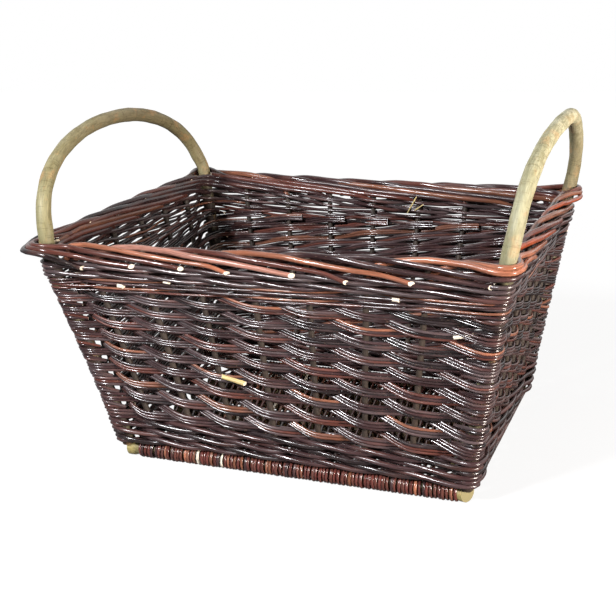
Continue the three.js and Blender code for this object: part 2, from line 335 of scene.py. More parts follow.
class NodeTree:
    """Nodes of a material or of the world, under construction."""

    def __init__(self, tree):
        self.nodes, self.links = tree.nodes, tree.links

    def fill(self, node, inputs):
        """Links outputs to a node's inputs, or sets them to numbers or colours."""
        for key, value in inputs.items():
            if isinstance(value, bpy.types.NodeSocket):
                self.links.new(value, node.inputs[key])
            else:
                node.inputs[key].default_value = value

    def node(self, kind, inputs, **settings):
        made = self.nodes.new(kind)
        for name, value in settings.items():
            setattr(made, name, value)
        self.fill(made, inputs)
        return made

    def calculate(self, operation, *values):
        return self.node("ShaderNodeMath", dict(enumerate(values)), operation=operation).outputs[0]

    def remap(self, value, low, high, to_low, to_high):
        inputs = {"Value": value, "From Min": low, "From Max": high, "To Min": to_low, "To Max": to_high}
        return self.node("ShaderNodeMapRange", inputs).outputs[0]


class Shader(NodeTree):
    """A node material under construction."""

    def __init__(self, name):
        self.material = bpy.data.materials.new(name)
        self.material.use_nodes = True
        super().__init__(self.material.node_tree)
        self.surface = self.nodes["Principled BSDF"]

    def attribute(self, name, output):
        return self.node("ShaderNodeAttribute", {}, attribute_name=name).outputs[output]

    def noise(self, place, scale, detail=3.0, rough=0.55):
        """Noise between 0 and 1 at a place stretched by three scales."""
        stretched = self.node("ShaderNodeVectorMath", {0: place, 1: scale}, operation="MULTIPLY")
        inputs = {"Vector": stretched.outputs[0], "Scale": 1.0, "Detail": detail, "Roughness": rough}
        return self.node("ShaderNodeTexNoise", inputs).outputs[0]

    def mix(self, share, first, second, blend="MIX"):
        """Colour mix of two colours or sockets."""
        inputs = {0: share, 6: first, 7: second}
        return self.node("ShaderNodeMix", inputs, data_type="RGBA", blend_type=blend).outputs[2]

    def grained(self, color, grain, dark, light):
        """A colour made darker and lighter by noise."""
        shade = self.remap(grain, 0.30, 0.70, dark, light)
        tone = self.node("ShaderNodeCombineColor", {0: shade, 1: shade, 2: shade}).outputs[0]
        return self.mix(1.0, color, tone, "MULTIPLY")

    def blotched(self, color, noise, low, high, share, other, blend="MIX"):
        """A colour that turns into another, up to a share, where noise rises from low to high."""
        return self.mix(self.remap(noise, low, high, 0.0, share), color, opaque(other), blend)

    def bump(self, height, distance, strength):
        inputs = {"Height": height, "Distance": distance, "Strength": strength}
        return self.node("ShaderNodeBump", inputs).outputs[0]


def opaque(color):
    return (*(float(part) for part in color), 1.0)


def grey(level):
    return (level, level, level, 1.0)


def willow_material(name, roughness, gloss, bloom):
    """Willow bark: the rod's own colour, streaked along it, with red tinges, grey bloom and pale pores."""
    shader = Shader(name)
    bark = shader.attribute("bark", "Vector")
    streaks = shader.noise(bark, (45.0, 900.0, 900.0))
    patches = shader.noise(bark, (22.0, 120.0, 120.0))
    pores = shader.noise(bark, (420.0, 1400.0, 1400.0), detail=1.0)
    turns = shader.noise(bark, (11.0, 40.0, 40.0), detail=2.0)
    color = shader.grained(shader.attribute("rod_color", "Color"), streaks, 0.52, 1.42)
    color = shader.blotched(color, turns, 0.52, 0.66, 0.45, RED_TINGE)
    color = shader.blotched(color, patches, 0.45, 0.75, bloom, GREY_BLOOM)
    color = shader.blotched(color, pores, 0.70, 0.76, 0.45, PALE_PORES)
    dullness = shader.remap(patches, 0.3, 0.7, roughness - 0.08, roughness + 0.12)
    normal = shader.bump(streaks, 0.0004, 0.4)
    inputs = {"Base Color": color, "Roughness": dullness, "Specular IOR Level": gloss, "Normal": normal}
    shader.fill(shader.surface, inputs)
    return shader.material


def peeled_rod_material(name, spots, patches):
    """Thin-barked thick rod: mottled along its length, with rings, flecks, green and orange patches."""
    shader = Shader(name)
    bark = shader.attribute("bark", "Vector")
    mottle = shader.noise(bark, (28.0, 90.0, 90.0), detail=5.0, rough=0.65)
    grain = shader.noise(bark, (90.0, 620.0, 620.0), detail=4.0)
    flecks = shader.noise(bark, (260.0, 420.0, 420.0), detail=2.0)
    greens = shader.noise(bark, (34.0, 55.0, 55.0), detail=4.0, rough=0.7)
    oranges = shader.noise(bark, (36.0, 50.0, 50.0), detail=4.0, rough=0.6)
    rings = shader.noise(bark, (520.0, 40.0, 40.0), detail=2.0)
    color = shader.grained(shader.attribute("rod_color", "Color"), grain, 0.74, 1.16)
    color = shader.blotched(color, mottle, 0.46, 0.66, 0.8, PATCH_SHADE, "MULTIPLY")
    color = shader.blotched(color, greens, 0.52, 0.60, patches, MOSS_GREEN)
    color = shader.blotched(color, oranges, 0.57, 0.67, patches * 0.6, WARM_ORANGE)
    color = shader.blotched(color, rings, 0.60, 0.66, 0.65, RING_SHADE, "MULTIPLY")
    color = shader.blotched(color, flecks, 0.63, 0.72, spots, FLECK_SHADE, "MULTIPLY")
    dullness = shader.remap(mottle, 0.3, 0.7, 0.48, 0.72)
    normal = shader.bump(grain, 0.0008, 0.8)
    shader.fill(shader.surface, {"Base Color": color, "Roughness": dullness, "Normal": normal})
    return shader.material


def cut_wood_material(name, wood, ring):
    """End grain of a cut rod, with rings round the pith."""
    shader = Shader(name)
    bark = shader.attribute("bark", "Vector")
    flat = {0: bark, 1: (0.0, 1.0, 1.0)}
    across = shader.node("ShaderNodeVectorMath", flat, operation="MULTIPLY").outputs[0]
    from_pith = shader.node("ShaderNodeVectorMath", {0: across}, operation="LENGTH").outputs["Value"]
    grain = shader.noise(bark, (900.0, 900.0, 900.0))
    wave = shader.calculate("SINE", shader.calculate("MULTIPLY", from_pith, 4200.0))
    color = shader.blotched(opaque(wood), wave, -1.0, 1.0, 0.3, ring)
    color = shader.blotched(color, grain, 0.5, 0.8, 0.4, END_GRAIN_STAIN)
    shader.fill(shader.surface, {"Base Color": color, "Roughness": 0.75})
    return shader.material


WALL_WILLOW = willow_material("wall_willow", roughness=0.22, gloss=0.62, bloom=0.16)
BORDER_WILLOW = willow_material("border_willow", roughness=0.21, gloss=0.48, bloom=0.08)
BASE_WILLOW = willow_material("base_willow", roughness=0.22, gloss=0.60, bloom=0.08)
STAKE_WOOD = peeled_rod_material("stake_bark", spots=0.5, patches=0.0)
HANDLE_WOOD = peeled_rod_material("handle_bark", spots=0.6, patches=0.55)
CUT_WOOD = cut_wood_material("cut_wood", CREAM_WOOD, from_srgb(206, 176, 140))
SAWN_WOOD = cut_wood_material("sawn_wood", from_srgb(138, 131, 92), from_srgb(112, 104, 74))


# Rod meshes


def unit(vectors):
    return vectors / np.linalg.norm(vectors, axis=-1, keepdims=True)


def wave(form, places, phase):
    """Wave of a size and of a number of radians for each unit of place."""
    size, turns = form
    return size * np.sin(places * turns + phase)


def hand_bend(points):
    """Points moved as the basket's uneven shape asks."""
    corner = POSTS[FRONT_RIGHT_LEG].at(RIM_Z)
    x, y = np.clip(points[:, :2].T / np.abs(corner)[:, None], -1, 1)
    z = points[:, 2]
    lift = np.zeros_like(z)
    for (right, back), height in CORNER_LIFTS.items():
        lift += height * (1 + x * right) * (1 + y * back) / 4
    along_left = np.interp(y, LEFT_LIFT_PLACES, LEFT_LIFT_SHARES)
    lift += LEFT_END_LIFT * np.interp(-x, LEFT_LIFT_FROM, (0.0, 1.0)) * along_left
    lift -= BACK_SAG * np.interp(y, BACK_SAG_FROM, (0.0, 1.0)) * (1 - x**2)
    lift *= np.interp(z, (0.0, RIM_Z, RIM_Z + RIM_FADE), (0.0, 1.0, 0.0))
    swell = np.interp(z, SWELL_HEIGHTS, SWELL_REACHES) * np.clip(-x, 0, 1) * np.clip(-y, 0, 1)
    return points + np.column_stack((-swell, np.zeros_like(swell), lift))


class RodMesh:
    """Gathers tapered rods into one mesh, with bark coordinates, a colour and an unrolled map for each."""

    # Bark map: length of a strip, margin in rod radii and slack round it; longest start along the bark
    STRIP_LENGTH = 1.2
    MAP_MARGIN = 3
    MAP_SLACK = 1.02
    BARK_STARTS = 50
    # Uneven rods: tints, oval section, lumps and how fast their size changes along the rod
    TINTS = (0.78, 1.25)
    OVAL = 0.05
    LUMP = 0.035
    LUMP_SPACING = 0.045
    LUMP_BEAT = 2.3
    SHARP_ANGLE = math.radians(60)

    def __init__(self, seed, sides=8):
        self.random = np.random.default_rng((SEED, seed))
        self.sides = sides
        self.count = 0
        self.points, self.bark, self.colors = [], [], []
        self.faces, self.is_cut, self.strip_of, self.map_places = [], [], [], []
        self.strip_heights = []

    def pick(self, barks):
        """One of several bark colours by how often they turn up, a little lighter or darker."""
        shares = np.array([share for _, share in barks])
        color = barks[self.random.choice(len(barks), p=shares / shares.sum())][0]
        return color * self.random.uniform(*self.TINTS)

    def add(self, line, radii, colors, shares=None, guide=UP, slants=(0.0, 0.0)):
        """One rod along a line of points, of one colour or of several at shares of its length.

        A slant turns the cut at the first or last end outwards, or inwards if it is negative.
        """
        line = hand_bend(np.asarray(line, float))
        radii = np.broadcast_to(radii, len(line))
        steps = np.linalg.norm(np.diff(line, axis=0), axis=1)
        along = np.concatenate(([0.0], np.cumsum(steps)))
        forward = unit(np.gradient(line, along, axis=0))
        side = unit(np.cross(guide, forward))
        over = np.cross(forward, side)
        turn = np.arange(self.sides) * 2 * math.pi / self.sides
        phases = self.random.uniform(0, 2 * math.pi, 3)
        oval = 1 + self.OVAL * np.cos(2 * turn + phases[0])
        lumps = np.sin(along / self.LUMP_SPACING * 2 * math.pi + phases[1])
        lumps = 1 + self.LUMP * lumps * np.sin(along / self.LUMP_SPACING * self.LUMP_BEAT + phases[2])
        reach = radii[:, None] * lumps[:, None] * oval
        across, upward = reach * np.cos(turn), reach * np.sin(turn)
        rings = line[:, None] + across[..., None] * side[:, None] + upward[..., None] * over[:, None]
        rings[0] -= np.outer(across[0] * slants[0], forward[0])
        rings[-1] += np.outer(across[-1] * slants[1], forward[-1])
        start = self.random.uniform(0, self.BARK_STARTS)
        bark = np.stack((np.broadcast_to(along[:, None] + start, reach.shape), across, upward), axis=-1)
        colors = np.atleast_2d(colors)
        stops = along[-1] * np.array(shares or np.linspace(0, 1, len(colors)))
        tints = np.column_stack([np.interp(along, stops, channel) for channel in colors.T])
        self.points.append(rings.reshape(-1, 3))
        self.bark.append(bark.reshape(-1, 3))
        self.colors.append(np.repeat(tints, self.sides, axis=0))
        self.add_faces(along, radii)
        self.count += len(line) * self.sides

    def add_faces(self, along, radii):
        """Side faces and two cut ends of the rod whose points come next."""
        sides, rings = self.sides, len(along)
        girth = 2 * math.pi * radii.max()
        margin = self.MAP_MARGIN * radii.max()
        turns = np.arange(sides + 1) / sides * girth
        first_strip = len(self.strip_heights)
        strip = (along[:-1] / self.STRIP_LENGTH).astype(int)
        self.strip_heights += [girth + radii.max()] * (strip[-1] + 1)
        for i in range(rings - 1):
            low = self.count + i * sides
            begin = along[i] - strip[i] * self.STRIP_LENGTH + margin
            finish = begin + along[i + 1] - along[i]
            for k in range(sides):
                n = (k + 1) % sides
                self.faces.append((low + k, low + n, low + sides + n, low + sides + k))
                self.map_places.append(
                    ((begin, turns[k]), (begin, turns[k + 1]), (finish, turns[k + 1]), (finish, turns[k]))
                )
                self.strip_of.append(first_strip + strip[i])
                self.is_cut.append(False)
        last = self.count + (rings - 1) * sides
        end_place = along[-1] - strip[-1] * self.STRIP_LENGTH + 1.5 * margin
        for corners, middle, at_strip, size in (
            (range(self.count + sides - 1, self.count - 1, -1), margin / 2, 0, radii[0]),
            (range(last, last + sides), end_place, strip[-1], radii[-1]),
        ):
            self.faces.append(tuple(corners))
            angles = np.arange(sides) * 2 * math.pi / sides
            place = np.column_stack((middle + size * np.cos(angles), margin / 2 + size * np.sin(angles)))
            self.map_places.append(tuple(map(tuple, place)))
            self.strip_of.append(first_strip + at_strip)
            self.is_cut.append(True)

    def unrolled_map(self):
        """Map coordinates of every face corner: strips of unrolled bark, stacked in columns of a square."""
        heights = np.array(self.strip_heights)
        width = max(u for place in self.map_places for u, _ in place) * self.MAP_SLACK
        columns = max(1, math.ceil(math.sqrt(heights.sum() / width)))
        tallest = heights.sum() / columns + heights.max()
        square = max(columns * width, tallest)
        foot = np.concatenate(([0.0], np.cumsum(heights)[:-1]))
        column = np.minimum((foot / tallest).astype(int), columns - 1)
        first_foot = {c: foot[column == c].min() for c in np.unique(column)}
        corner = np.column_stack((column * width, foot - [first_foot[c] for c in column]))
        sizes = [len(place) for place in self.map_places]
        places = np.array([point for place in self.map_places for point in place])
        return (places + corner[np.repeat(self.strip_of, sizes)]) / (square * self.MAP_SLACK)

    def piece(self, name, bark_material, nodes, cut_material=CUT_WOOD):
        """The finished object, riding on the frame in place of some of its nodes."""
        mesh = bpy.data.meshes.new(name)
        mesh.from_pydata(np.vstack(self.points).tolist(), [], self.faces)
        mesh.materials.append(bark_material)
        mesh.materials.append(cut_material)
        mesh.polygons.foreach_set("material_index", np.array(self.is_cut, np.int32))
        mesh.polygons.foreach_set("use_smooth", ~np.array(self.is_cut, bool))
        bark = mesh.attributes.new("bark", "FLOAT_VECTOR", "POINT")
        bark.data.foreach_set("vector", np.vstack(self.bark).astype(np.float32).ravel())
        tints = np.vstack(self.colors)
        tints = np.column_stack((tints, np.ones(len(tints))))
        color = mesh.attributes.new("rod_color", "FLOAT_COLOR", "POINT")
        color.data.foreach_set("color", tints.astype(np.float32).ravel())
        unrolled = mesh.uv_layers.new(name="OFBake")
        unrolled.data.foreach_set("uv", self.unrolled_map().astype(np.float32).ravel())
        mesh.set_sharp_from_angle(angle=self.SHARP_ANGLE)
        mesh.update()
        made = bpy.data.objects.new(name, mesh)
        bpy.context.scene.collection.objects.link(made)
        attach(made, "root")
        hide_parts(*nodes)
        return made


# Posts and the ways of the rods between them


def section_centre(node, z, side=0):
    """Middle of an upright of the frame where a level plane cuts it; side picks the front or back leg."""
    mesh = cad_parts[node].data
    hits = []
    for edge in mesh.edges:
        a, b = (mesh.vertices[i].co for i in edge.vertices)
        if (a.z - z) * (b.z - z) < 0 and a.y * side >= 0:
            hits.append(a.lerp(b, (z - a.z) / (b.z - a.z)))
    return np.array(sum(hits, Vector()) / len(hits))


class Post:
    """An upright, the wall that it stands in or starts, and the outward directions before and after it."""

    def __init__(self, node, wall, before, after, side=0):
        self.node, self.wall = node, wall
        self.before, self.after = np.array(before, float), np.array(after, float)
        self.is_leg = before != after
        self.radius = LEG_RADIUS if self.is_leg else STAKE_RADIUS
        low, high = (section_centre(node, z, side) for z in (LOW_CUT, HIGH_CUT))
        self.low = low
        self.lean = (high - low)[:2] / (HIGH_CUT - LOW_CUT)

    def at(self, z):
        return self.low[:2] + self.lean * (z - LOW_CUT)

    def point(self, z):
        return np.array((*self.at(z), z))


WALLS = {"front": (0, -1), "right": (1, 0), "back": (0, 1), "left": (-1, 0)}
LEGS_BEFORE = {
    "front": ("handle_left", -1),
    "right": ("handle_right", -1),
    "back": ("handle_right", 1),
    "left": ("handle_left", 1),
}


def nodes_named(*starts):
    return [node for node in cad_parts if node.startswith(starts)]


STAKE_COUNTS = {name: len(nodes_named(name + "_stake_")) for name in WALLS}


def wall_posts():
    posts = []
    outward_before = WALLS["left"]
    for name, outward in WALLS.items():
        leg, side = LEGS_BEFORE[name]
        posts.append(Post(leg, name, outward_before, outward, side))
        posts += [Post(f"{name}_stake_{i + 1}", name, outward, outward) for i in range(STAKE_COUNTS[name])]
        outward_before = outward
    return posts


POSTS = wall_posts()
COUNT = len(POSTS)
BASE_TOP_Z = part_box("base_weave")[1].z
RIM_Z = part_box("border_top_front")[1].z
BORDER_FOOT_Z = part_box("border_outer_lower")[0].z


def is_leg(way):
    """Whether a whole number of posts round the basket ends at the leg of a handle."""
    return float(way).is_integer() and POSTS[int(way) % COUNT].is_leg


def knots_at(way, offset, z):
    """Knots (way, x, y, z) of a rod at one place round the basket, an offset outwards from the posts."""
    if not float(way).is_integer():
        first = math.floor(way)
        before, after = POSTS[first % COUNT], POSTS[(first + 1) % COUNT]
        flat = before.at(z) + (after.at(z) - before.at(z)) * (way - first) + before.after * offset
        return [(way, *flat, z)]
    post = POSTS[int(way) % COUNT]
    centre = post.at(z)
    if not post.is_leg:
        return [(way, *(centre + post.after * offset), z)]
    if offset <= 0:
        return [(way, *(centre + (post.before + post.after) * offset), z)]
    round_leg = (post.before, unit(post.before + post.after), post.after)
    steps = (-CORNER_STEP, 0.0, CORNER_STEP)
    return [(way + step, *(centre + outward * offset), z) for step, outward in zip(steps, round_leg)]


def even_slopes(knots, levels):
    """Slopes that carry a curve through levels without swinging past them."""
    rates = np.diff(levels) / np.diff(knots)
    slopes = np.zeros_like(levels)
    slopes[0], slopes[-1] = rates[0], rates[-1]
    before, after = rates[:-1], rates[1:]
    same_way = before * after > 0
    total = np.where(same_way, before + after, 1.0)
    slopes[1:-1] = np.where(same_way, 2 * before * after / total, 0.0)
    return slopes


def curve_through(knots, values, slopes, at):
    """Cubic curve through values at knots, with given slopes, read at some places."""
    i = np.clip(np.searchsorted(knots, at, side="right") - 1, 0, len(knots) - 2)
    width = (knots[i + 1] - knots[i])[:, None]
    t = ((at - knots[i]) / width[:, 0])[:, None]
    start, end = values[i], values[i + 1]
    bend = (2 * t**3 - 3 * t**2 + 1) * start + (3 * t**2 - 2 * t**3) * end
    return bend + width * ((t**3 - 2 * t**2 + t) * slopes[i] + (t**3 - t**2) * slopes[i + 1])


def woven_line(stations, per_post):
    """Ways and points of a rod through stations (way, outward offset, height), per_post points to a post."""
    knots = np.array([knot for station in stations for knot in knots_at(*station)])
    ways, flat, levels = knots[:, 0], knots[:, 1:3], knots[:, 3]
    count = max(4, math.ceil((ways[-1] - ways[0]) * per_post))
    at = np.linspace(ways[0], ways[-1], count + 1)
    plan = curve_through(ways, flat, np.gradient(flat, ways, axis=0), at)
    height = curve_through(ways, levels[:, None], even_slopes(ways, levels)[:, None], at)
    return at, np.hstack((plan, height))


def back_fill(ways):
    """How much fuller the rods are at some ways round the basket."""
    return np.interp(np.mod(ways, COUNT), BACK_WAYS, BACK_FULLNESS)


def clearance(way, rod_radius):
    """How far a rod's middle stays from a post's middle when it lies against it."""
    return POSTS[int(way) % COUNT].radius + rod_radius + ROD_GAP


# Handles


def handle_line(leg_posts, lift, fullness):
    """Centre line of a handle: up one leg, over in an arch that leans with the wall, and down the other.

    fullness shapes the arch's front and back half: 2 is an ellipse, and more has fuller shoulders.
    """
    low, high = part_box(leg_posts[0].node)
    rise = high.z - LEG_RADIUS - RIM_Z + lift
    steps = np.linspace(0, 1, LEG_STEPS, endpoint=False)
    up = [leg_posts[0].point(low.z + (RIM_Z - low.z) * step) for step in steps]
    down = [leg_posts[1].point(low.z + (RIM_Z - low.z) * step) for step in steps[::-1]]
    front, back = leg_posts[0].at(RIM_Z)[1], leg_posts[1].at(RIM_Z)[1]
    middle, reach = (front + back) / 2, (back - front) / 2
    bow = []
    for angle in np.linspace(0, math.pi, BOW_STEPS + 1):
        power = 2 / fullness[0 if angle < math.pi / 2 else 1]
        z = RIM_Z + rise * max(0.0, math.sin(angle)) ** power
        across = math.copysign(abs(math.cos(angle)) ** power, math.cos(angle))
        bow.append((leg_posts[0].at(z)[0], middle - reach * across, z))
    return np.array([*up, *bow, *down])


def make_handles():
    for number, (name, legs) in enumerate(HANDLE_LEGS.items()):
        rod = RodMesh(seed=100 + number, sides=20)
        line = handle_line([POSTS[i] for i in legs], BOW_LIFTS[name], BOW_FULLNESS[name])
        share = np.linspace(0, 1, len(line))
        wander = rod.random.uniform(0, 2 * math.pi, 2)
        line[:, 0] += wave(HANDLE_SIDE_WAVE, share, wander[0])
        line[:, 2] += wave(HANDLE_RISE_WAVE, share, wander[1]) * np.sin(share * math.pi)
        taper = np.interp(share, (0, 1), LEG_TAPERS[name])
        radii = LEG_RADIUS * (taper + wave(HANDLE_GIRTH_WAVE, share, wander[0]))
        # The legs' stretches inside the weave get painted shade; the handle's barks carry painted shade on
        # the back legs
        barks = (PAINTED_SHADE_LEG_BARK, PAINTED_SHADE_LEG_BARK, *HANDLE_BARKS_AND_SHADE[name], PAINTED_SHADE_LEG_BARK, PAINTED_SHADE_LEG_BARK)
        rod.add(line, radii, barks, HANDLE_BARK_SHARES, guide=ALONG_X)
        rod.piece(f"handle_rod_{name}", HANDLE_WOOD, [f"handle_{name}"])


# Stakes and base


def make_stakes():
    for number, post in enumerate(POSTS):
        if post.is_leg:
            continue
        low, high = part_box(post.node)
        rod = RodMesh(seed=200 + number)
        levels = np.linspace(max(low.z, BASE_TOP_Z), high.z, STAKE_STEPS)
        line = [post.point(z) for z in levels]
        outward = np.array((*post.after, 0.0))
        if low.z < BASE_TOP_Z / 2:
            bend = BASE_TOP_Z - low.z - STAKE_RADIUS
            middle = post.point(BASE_TOP_Z) - outward * bend
            angles = np.linspace(0, math.pi / 2, STAKE_BEND_STEPS + 1)[:-1]
            foot = [middle + bend * (outward * math.sin(a) - UP * math.cos(a)) for a in angles]
            line = [*foot, *line]
        color = STAKE_BARK * rod.random.uniform(*STAKE_TINTS)
        rod.add(line, STAKE_RADIUS, color, guide=np.array((-outward[1], outward[0], 0.0)))
        rod.piece(post.node.replace("stake", "stake_rod"), STAKE_WOOD, [post.node])


# Base sticks from front to back
BASE_STICKS = sorted(nodes_named("base_stick", "base_edge"), key=lambda node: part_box(node)[0].y)


def stick_middle(node):
    low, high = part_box(node)
    return (low + high) / 2


def make_base_sticks():
    for number, node in enumerate(BASE_STICKS):
        low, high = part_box(node)
        middle = stick_middle(node)
        rod = RodMesh(seed=300 + number, sides=14)
        x = np.linspace(low.x - STICK_END_REACH, high.x + STICK_END_REACH, STICK_STEPS)
        from_end = np.minimum(x - x[0], x[-1] - x)
        radii = np.full_like(x, BASE_STICK_RADIUS)
        if node.startswith("base_edge"):
            radii = np.interp(from_end, STICK_END_PLACES, STICK_END_RADII)
        sway = rod.random.uniform(0, 2 * math.pi)
        line = np.column_stack((x, middle.y + wave(STICK_WAVE, x, sway), np.full_like(x, middle.z)))
        bark = STICK_BARK * rod.random.uniform(*STICK_TINTS)
        slant = STICK_END_SLANT if node == "base_edge_stick_front" else 0.0
        barks = (STICK_END_BARK, *[bark] * STICK_PLAIN_STOPS, STICK_END_BARK)
        rod.add(line, radii, barks, slants=(0.0, slant))
        rod.piece(node.replace("stick", "stick_rod"), HANDLE_WOOD, [node], SAWN_WOOD)


def wrap_points(middle, outward, first_side, reach):
    """Way of a base rod round an edge stick: in on one side, round its outer face and back on the other."""
    rise = first_side * reach * np.cos(WRAP_TURNS)
    return [(middle.y + outward * reach * math.sin(t), middle.z + up) for t, up in zip(WRAP_TURNS, rise)]


def make_base_weave():
    """Rods across the base, over one stick and under the next; all but those at its ends are wrapped."""
    rods = RodMesh(seed=400)
    low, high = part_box("base_weave")
    middles = [stick_middle(node) for node in BASE_STICKS]
    reach = BASE_STICK_RADIUS + BASE_ROD_RADIUS
    count = int((high.x - low.x + BASE_OVERHANG - 2 * BASE_ROD_RADIUS) / BASE_ROD_PITCH) + 1
    start = low.x + BASE_ROD_RADIUS
    wrapped = range(count)
    for i in (*wrapped, *range(-BASE_END_RODS[0], 0), *range(count, count + BASE_END_RODS[1])):
        x = start + i * BASE_ROD_PITCH
        over = 1 if i % 2 else -1
        sides = [over if k % 2 else -over for k in range(len(middles))]
        front = [(middles[0].y + BASE_END_INSET, middles[0].z)]
        back = [(middles[-1].y - BASE_END_INSET, middles[-1].z)]
        if i in wrapped:
            front = wrap_points(middles[0], -1, sides[0], reach)[::-1]
            back = wrap_points(middles[-1], 1, sides[-1], reach)
        inner = [(m.y, m.z + side * reach) for m, side in zip(middles[1:-1], sides[1:-1])]
        outline = np.array([*front, *inner, *back])
        knots = np.concatenate(([0.0], np.cumsum(np.linalg.norm(np.diff(outline, axis=0), axis=1))))
        slopes = np.gradient(outline, knots, axis=0)
        slopes[len(front) : -len(back), 1] = 0.0
        slopes[len(front) - 1] = slopes[-len(back)] = (1.0, 0.0)
        at = np.unique(np.concatenate((np.linspace(0, knots[-1], BASE_ROD_STEPS), knots)))
        flat = curve_through(knots, outline, slopes, at)
        shift = rods.random.normal(0, ROD_SHIFT)
        drift = shift + wave(BASE_WAVE, at, rods.random.uniform(0, BASE_WAVE_PHASES))
        line = np.column_stack((x + drift, flat))
        radius = BASE_ROD_RADIUS * rods.random.uniform(*BASE_GIRTHS)
        rods.add(line, radius, rods.pick(BASE_BARKS), guide=ALONG_X)
    rods.piece("base_weavers", BASE_WILLOW, ["base_weave"])


# Walls


def slew_levels():
    """Heights at which the bundles pass in front of a post, and the climb from each to the next."""
    foot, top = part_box("slew_row_01")[0].z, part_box("slew_row_15")[1].z
    climbs = np.linspace(SLEW_FIRST_PITCH, SLEW_LAST_PITCH, SLEW_LAYERS)
    climbs *= (top - foot) / climbs.sum()
    levels = foot + np.concatenate(([0.0], np.cumsum(climbs)[:-1])) + SLEW_PLACE_IN_LAYER * climbs
    return levels, climbs


def slew_radii(count):
    """Radii of a slewed rod at some places spread from its butt to its tip."""
    return np.linspace(SLEW_BUTT_RADIUS, SLEW_TIP_RADIUS, count)


def slew_stations(first_post, levels, climbs, place, jitter):
    """Way of one rod of a bundle, from its butt behind the post to the right of first_post up to its tip.

    place is the rod's height in the bundle, counted in rod radii from the middle.
    """
    stations = []
    radii = slew_radii(SLEW_LAYERS)
    for layer, (level, climb, radius) in enumerate(zip(levels, climbs, radii)):
        z = level + place * radius
        front = first_post - 2 * layer
        reach = clearance(front, radius) + jitter[layer, 1]
        stations.append((front, reach, z + jitter[layer, 0]))
        behind = front - 1
        reach = clearance(behind, radius)
        stations.append((behind, -reach, z + (1 - SLEW_DROP) * climb + jitter[layer, 0] / 2))
    butt = first_post + 1
    start = levels[0] + place * SLEW_BUTT_RADIUS - SLEW_DROP * climbs[0]
    reach = -clearance(butt, SLEW_BUTT_RADIUS)
    stations = [(butt + SLEW_BUTT_TAIL, reach, start), (butt, reach, start + SLEW_TAIL_RISE), *stations]
    tip_way, tip_reach, tip_z = stations[-1]
    stations.append((tip_way - SLEW_TIP_TAIL, tip_reach, tip_z + SLEW_TAIL_RISE))
    return stations[::-1]


def pack_corners(rods, levels, climbs):
    """Short rods that close the corners between the bundles passing the legs."""
    for leg in CORNER_LOOPS:
        for level, climb, radius in zip(levels, climbs, slew_radii(SLEW_LAYERS)):
            reach = (PACKING_END_REACH, clearance(leg, radius), PACKING_END_REACH)
            for shares in PACKING_SHARES:
                heights = level + np.array(shares) * climb + rods.random.normal(0, ROD_SHIFT)
                stations = [(leg + COUNT + w, o, z) for w, o, z in zip(PACKING_WAYS, reach, heights)]
                _, line = woven_line(stations, per_post=22)
                rods.add(line, radius * rods.random.uniform(*PACKING_GIRTHS), rods.pick(WALL_BARKS))


def make_slew():
    rods = RodMesh(seed=500)
    levels, climbs = slew_levels()
    for first_post in range(COUNT):
        shared = rods.random.normal(0, 1, (SLEW_LAYERS, 2)) * np.outer(climbs, SLEW_BUNDLE_SHIFTS)
        bark = rods.pick(WALL_BARKS)
        for place in SLEW_BUNDLE:
            own = rods.random.normal(0, ROD_SHIFT, (SLEW_LAYERS, 2))
            stations = slew_stations(first_post + COUNT, levels, climbs, place, shared + own)
            ways, line = woven_line(stations, per_post=7)
            radii = slew_radii(len(line))[::-1] * rods.random.uniform(*ROD_GIRTHS) * back_fill(ways)
            color = bark if rods.random.uniform() < SAME_BARK_SHARE else rods.pick(WALL_BARKS)
            rods.add(line, radii, (color * rods.random.uniform(*SLEW_TINTS), color), slants=SLEW_SLANTS)
    pack_corners(rods, levels, climbs)
    for ends, bark in ((STRAW_ENDS, STRAW_BARK), (PALE_ENDS, CREAM_WOOD)):
        for begin, finish, radius in ends:
            _, line = woven_line((begin, finish), per_post=12)
            rods.add(line, radius, bark, slants=STRAY_SLANTS)
    rods.piece("slew_rods", WALL_WILLOW, nodes_named("slew_row"))


def wale(rods, foot, height, rounds, barks):
    """Three rods that spiral up a band; each passes two posts outside, sinking, and one inside, rising."""
    band = height / rounds
    step = band / 4
    radius = band / 4 * WALE_FULLNESS
    for rod in range(WALE_RODS):
        stations = []
        first = WALE_START_POST + rod
        for way in range(first, first + COUNT * rounds + 1):
            finished, posts = divmod(way - WALE_START_POST, COUNT)
            step_down = max(0.0, 1 - posts / WALE_STEP_POSTS) if finished else 0.0
            climb = foot + band * min(finished - step_down + 0.5, rounds - 0.5)
            reach = clearance(way, radius)
            phase = (way - first) % WALE_RODS
            if phase == 0:
                stations.append((way, reach, climb + step))
            elif phase == 1:
                stations.append((way, reach, climb - step))
                stations.append((way + 0.5, 0.0, climb - step))
            else:
                stations.append((way, -reach, climb))
                stations.append((way + 0.5, 0.0, climb + step))
        stations = [(w, o, z + rods.random.normal(0, ROD_SHIFT)) for w, o, z in stations]
        ways, line = woven_line(stations, per_post=7)
        taper = np.interp(ways - first, (0, WALE_STEP_POSTS), (WALE_START_GIRTH, 1.0))
        radii = radius * taper * rods.random.uniform(*WALE_GIRTHS)
        rods.add(line, radii, rods.pick(barks), slants=WALE_SLANTS)


def make_wales():
    lower = RodMesh(seed=600)
    foot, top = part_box("wale_row_1")[0].z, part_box("wale_row_2")[1].z
    wale(lower, foot, top - foot, LOWER_WALE_ROUNDS, WALL_BARKS)
    for begin, finish in FOOT_RODS:
        lower.add(np.linspace(begin, finish, FOOT_ROD_STEPS), FOOT_ROD_RADIUS, lower.pick(WALL_BARKS))
    lower.piece("lower_wale_rods", WALL_WILLOW, ["wale_row_1", "wale_row_2"])
    upper = RodMesh(seed=601)
    wale(upper, BORDER_FOOT_Z - UPPER_WALE_DROP, UPPER_WALE_HEIGHT, UPPER_WALE_ROUNDS, RAND_BARKS)
    upper.piece("upper_wale_rods", WALL_WILLOW, ["rand_row_2"])


